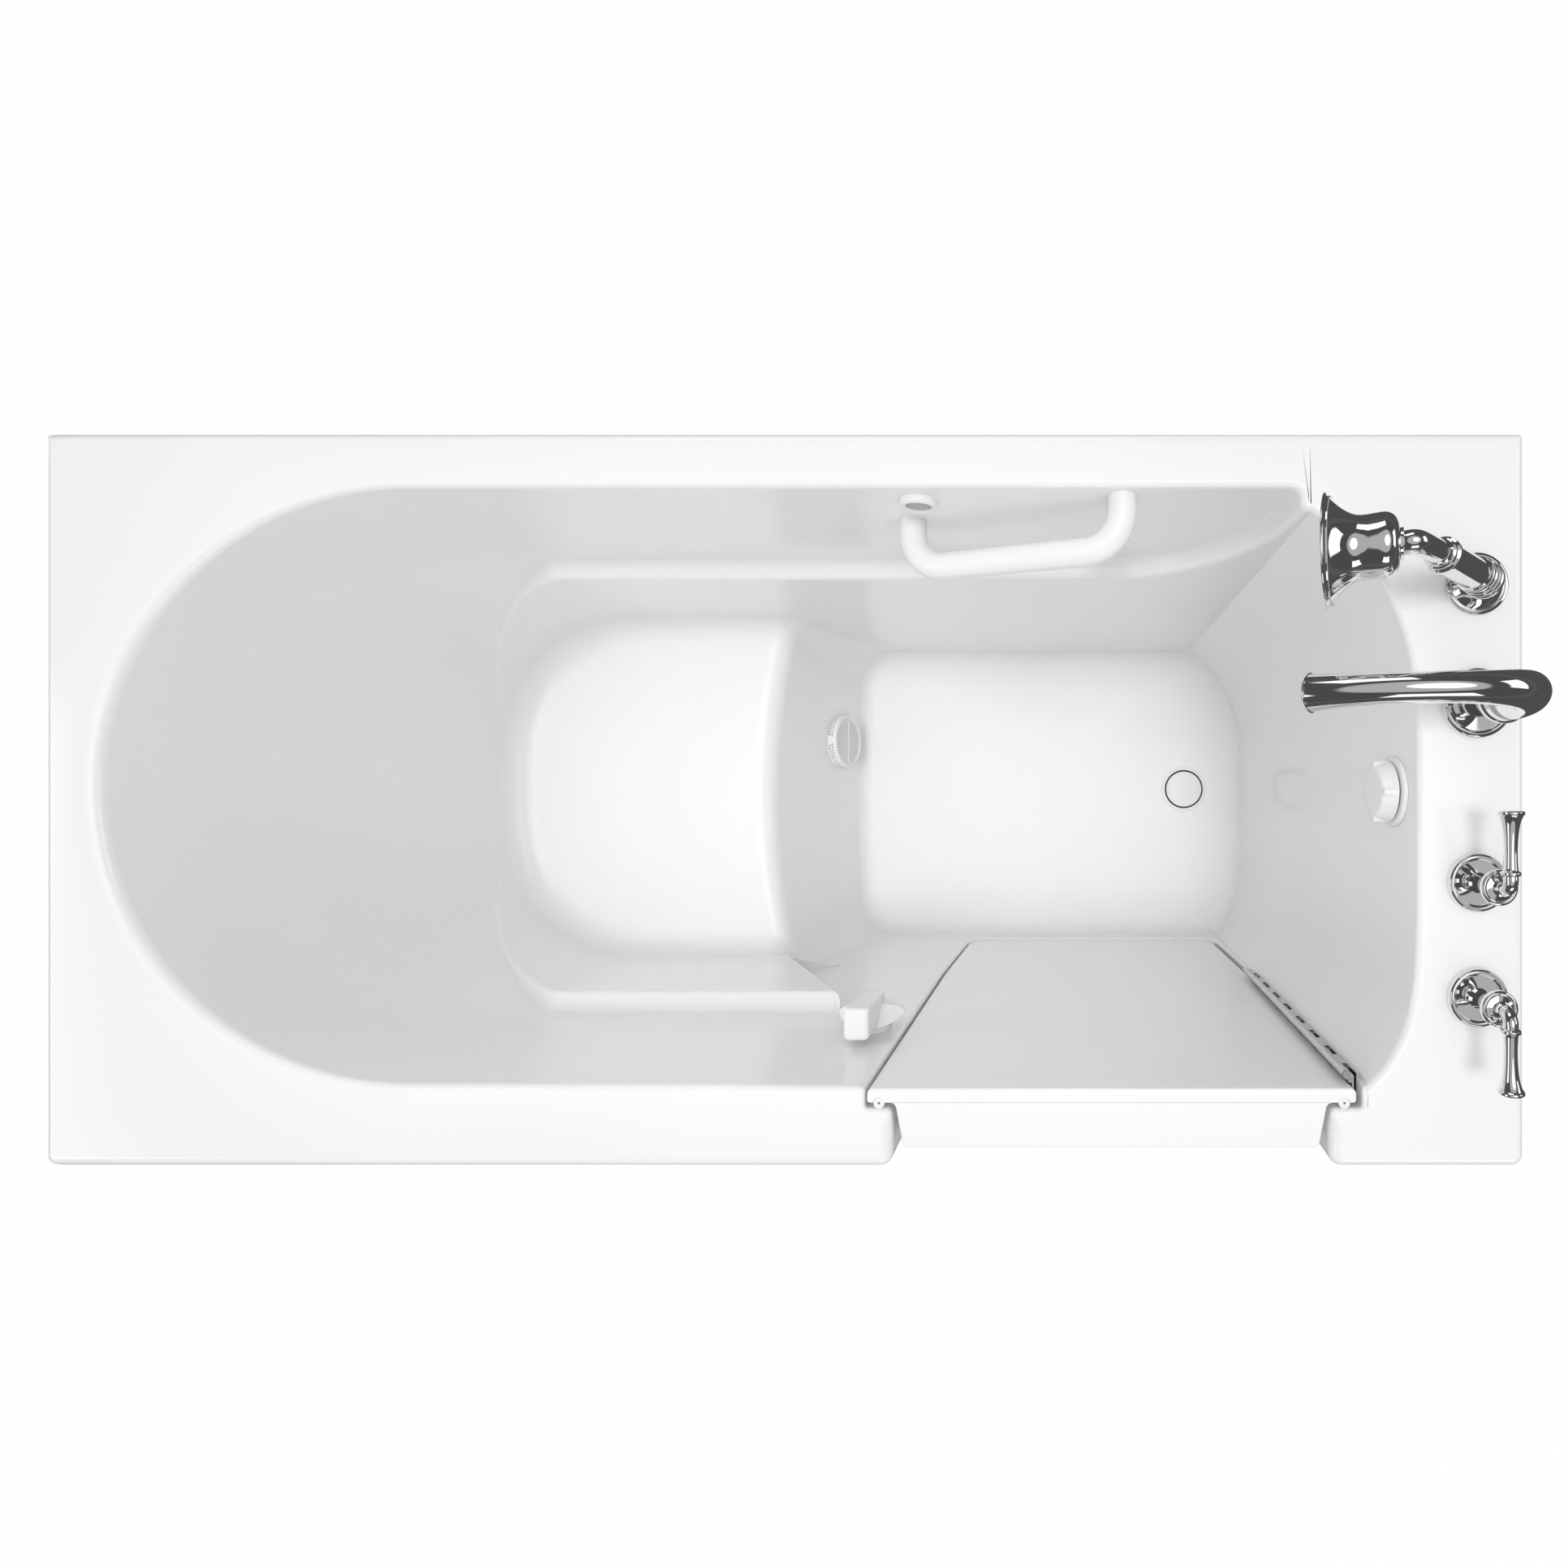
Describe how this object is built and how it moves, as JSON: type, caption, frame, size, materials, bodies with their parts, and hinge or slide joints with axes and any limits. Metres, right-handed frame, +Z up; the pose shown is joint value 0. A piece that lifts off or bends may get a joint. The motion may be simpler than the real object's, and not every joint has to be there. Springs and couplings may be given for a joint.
{
  "type": "walk-in bathtub",
  "caption": "Walk-in bathtub with an inward-opening sealed door, moulded seat, grab bar, deck-mounted taps with hand shower, and a pumped waste.",
  "frame": {"origin": "on the floor under the middle of the deck's outer rectangle", "axes": "+X towards the tap end, +Y towards the wall side (the door faces -Y), +Z up"},
  "size_m": [1.524, 0.757, 1.1223],
  "materials": {
    "gelcoat": "high gloss white gelcoat",
    "apron_white": "gloss white panel",
    "white_plastic": "gloss white moulded plastic",
    "grey_plastic": "light grey plastic",
    "seal_white": "soft white elastomer",
    "chrome": "polished chrome plate",
    "stainless": "brushed stainless steel",
    "frame_steel": "satin grey paint on steel",
    "zinc_steel": "zinc-plated steel",
    "foot_rubber": "black rubber",
    "brass": "cast and machined brass",
    "copper": "drawn copper tube",
    "black_plastic": "matt black plastic",
    "pipe_white": "white waste pipe",
    "clear_tube": "milky soft tube",
    "spray_grey": "grey spray plate"
  },
  "bodies": {
    "root": {"tub_shell": "gelcoat", "support_frame": "frame_steel", "foot_studs": "zinc_steel", "foot_nuts": "zinc_steel", "foot_pads": "foot_rubber", "front_apron": "apron_white", "access_panel": "apron_white", "access_screws": "white_plastic", "end_apron_left": "apron_white", "end_apron_right": "apron_white", "hinge_jamb_leaf": "stainless", "hinge_pin": "stainless", "latch_bushing": "white_plastic", "grab_bar": "white_plastic", "grab_bar_fixings": "zinc_steel", "air_switch_body": "white_plastic", "air_switch_nut": "white_plastic", "air_tube": "clear_tube", "overflow_plate": "white_plastic", "overflow_elbow": "black_plastic", "overflow_pipe": "pipe_white", "drain_cable": "black_plastic", "drain_flange": "white_plastic", "drain_shoe": "black_plastic", "drain_tailpiece": "chrome", "suction_cover": "white_plastic", "suction_body": "white_plastic", "suction_pipe": "pipe_white", "pump_volute": "black_plastic", "pump_motor": "black_plastic", "pump_base": "zinc_steel", "discharge_pipe": "pipe_white", "spout": "chrome", "spout_flange": "chrome", "spout_shank": "brass", "cold_valve": "brass", "cold_escutcheon": "chrome", "hot_valve": "brass", "hot_escutcheon": "chrome", "supply_manifold": "copper", "shower_base": "chrome", "shower_shank": "brass"},
    "door": {"door_inner_panel": "gelcoat", "door_outer_shell": "gelcoat", "door_stiffener": "frame_steel", "door_seal": "seal_white", "hinge_door_leaf": "stainless"},
    "latch": {"latch_lever": "white_plastic", "latch_nut": "zinc_steel"},
    "cold_lever": {"cold_handle": "chrome"},
    "hot_lever": {"hot_handle": "chrome"},
    "waste_knob": {"overflow_knob": "white_plastic"},
    "stopper": {"drain_stopper": "white_plastic"},
    "air_button": {"air_switch_button": "grey_plastic"},
    "handset": {"shower_handset": "chrome", "shower_spray_face": "spray_grey"},
    "rotor": {"pump_rotor": "grey_plastic"}
  },
  "joints": [
    {"name": "door_hinge", "type": "hinge", "parent": "root", "child": "door", "pos_m": [0.5821, -0.287, 0.719], "axis": [0, 0, -1], "range_deg": [0, 90]},
    {"name": "latch_turn", "type": "hinge", "parent": "root", "child": "latch", "pos_m": [0.042, -0.2925, 0.772], "axis": [0, -1, 0], "range_deg": [0, 90]},
    {"name": "cold_turn", "type": "hinge", "parent": "root", "child": "cold_lever", "pos_m": [0.71, -0.0845, 1.028], "axis": [0, 0, 1], "range_deg": [0, 90]},
    {"name": "hot_turn", "type": "hinge", "parent": "root", "child": "hot_lever", "pos_m": [0.71, -0.202, 1.028], "axis": [0, 0, -1], "range_deg": [0, 90]},
    {"name": "waste_turn", "type": "hinge", "parent": "root", "child": "waste_knob", "pos_m": [0.6515, 0.008, 0.902], "axis": [-1, 0, 0], "range_deg": [0, 90]},
    {"name": "stopper_lift", "type": "slide", "parent": "root", "child": "stopper", "axis": [0, 0, 1], "range_m": [0, 0.008]},
    {"name": "air_button_press", "type": "slide", "parent": "root", "child": "air_button", "axis": [0, 1, 0], "range_m": [0, 0.003], "stiffness_N_per_m": 900, "springref_m": -0.002},
    {"name": "handset_lift", "type": "slide", "parent": "root", "child": "handset", "axis": [-0.6947, 0, 0.7193], "range_m": [0, 0.12]},
    {"name": "rotor_spin", "type": "hinge", "parent": "root", "child": "rotor", "pos_m": [-0.43356, 0.04, 0.19], "axis": [-1, 0, 0], "continuous": true}
  ],
  "couplings": [
    {"joint": "stopper_lift", "follows": "waste_turn", "m_per_rad": 0.005093}
  ]
}
